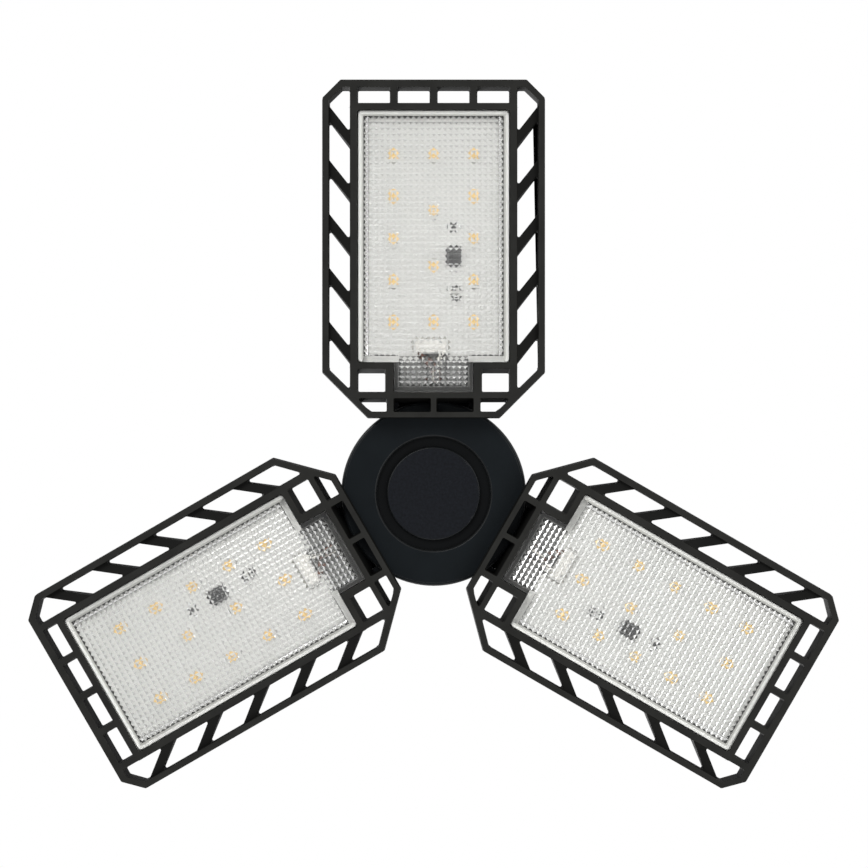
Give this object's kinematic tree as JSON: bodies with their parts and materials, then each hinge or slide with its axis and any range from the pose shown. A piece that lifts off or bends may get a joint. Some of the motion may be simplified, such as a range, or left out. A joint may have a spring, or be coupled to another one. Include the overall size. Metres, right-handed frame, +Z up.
{
  "type": "led high bay lamp",
  "caption": "Ceiling lamp with folding LED panels in black lattice frames, each hinged to a round hub with a screw base.",
  "frame": {"origin": "on the lamp's axis, where the screw shell meets the neck of the hub", "axes": "+Z up along the screw base towards the ceiling, the light falls along -Z, panel 1 points along +Y"},
  "size_m": [0.2836, 0.2481, 0.0808],
  "materials": {
    "nickel": "nickel plated sheet brass, satin",
    "insulator": "black moulded insulator",
    "hub_plastic": "black, satin",
    "cap_plastic": "black, matt with fine grain",
    "frame_plastic": "black, satin",
    "arm_plastic": "black, glass filled, satin",
    "circuit_board": "green solder mask",
    "chip_black": "moulded chip body",
    "capacitor_sleeve": "shrink sleeve",
    "film_amber": "moulded box",
    "resistor_body": "lacquered",
    "disc_blue": "dipped coating",
    "white_plastic": "white nylon",
    "wire_grey": "sleeved lead wire",
    "wire_brown": "sleeved lead wire",
    "steel": "zinc plated",
    "brass": "turned",
    "aluminium": "extruded, clear anodised",
    "pad_grey": "soft thermal pad",
    "board_white": "white solder mask on aluminium core",
    "led_amber": "phosphor in a white package",
    "clear_lens": "clear prismatic acrylic"
  },
  "bodies": {
    "hub": {"screw_shell": "nickel", "base_insulator": "insulator", "base_contact": "nickel", "hub_neck": "hub_plastic", "hub_housing": "hub_plastic", "hub_cover": "hub_plastic", "centre_cap": "cap_plastic", "driver_board": "circuit_board", "rectifier": "chip_black", "bulk_capacitor": "capacitor_sleeve", "film_capacitor": "film_amber", "fuse_resistor": "resistor_body", "surge_disc": "disc_blue", "output_connectors": "white_plastic", "input_wires": "wire_grey", "output_wires": "wire_brown", "cover_screws": "steel", "hinge_screws": "steel", "hinge_washers": "steel", "hinge_bushes": "brass"},
    "panel_1": {"panel_frame_1": "frame_plastic", "heat_sink_1": "aluminium", "hinge_arm_1": "arm_plastic", "arm_screws_1": "steel", "frame_screws_1": "steel", "thermal_pad_1": "pad_grey", "led_board_1": "board_white", "leds_1": "led_amber", "driver_chip_1": "chip_black", "chip_resistors_1": "resistor_body", "wire_connector_1": "white_plastic", "panel_wires_1": "wire_brown", "lens_1": "clear_lens"},
    "panel_2": {"panel_frame_2": "frame_plastic", "heat_sink_2": "aluminium", "hinge_arm_2": "arm_plastic", "arm_screws_2": "steel", "frame_screws_2": "steel", "thermal_pad_2": "pad_grey", "led_board_2": "board_white", "leds_2": "led_amber", "driver_chip_2": "chip_black", "chip_resistors_2": "resistor_body", "wire_connector_2": "white_plastic", "panel_wires_2": "wire_brown", "lens_2": "clear_lens"},
    "panel_3": {"panel_frame_3": "frame_plastic", "heat_sink_3": "aluminium", "hinge_arm_3": "arm_plastic", "arm_screws_3": "steel", "frame_screws_3": "steel", "thermal_pad_3": "pad_grey", "led_board_3": "board_white", "leds_3": "led_amber", "driver_chip_3": "chip_black", "chip_resistors_3": "resistor_body", "wire_connector_3": "white_plastic", "panel_wires_3": "wire_brown", "lens_3": "clear_lens"}
  },
  "joints": [
    {"name": "panel_1_fold", "type": "hinge", "parent": "hub", "child": "panel_1", "pos_m": [0, 0.036, -0.04], "axis": [1, 0, 0], "range_deg": [0, 90]},
    {"name": "panel_2_fold", "type": "hinge", "parent": "hub", "child": "panel_2", "pos_m": [-0.03118, -0.018, -0.04], "axis": [-0.5, 0.866, 0], "range_deg": [0, 90]},
    {"name": "panel_3_fold", "type": "hinge", "parent": "hub", "child": "panel_3", "pos_m": [0.03118, -0.018, -0.04], "axis": [-0.5, -0.866, 0], "range_deg": [0, 90]}
  ]
}
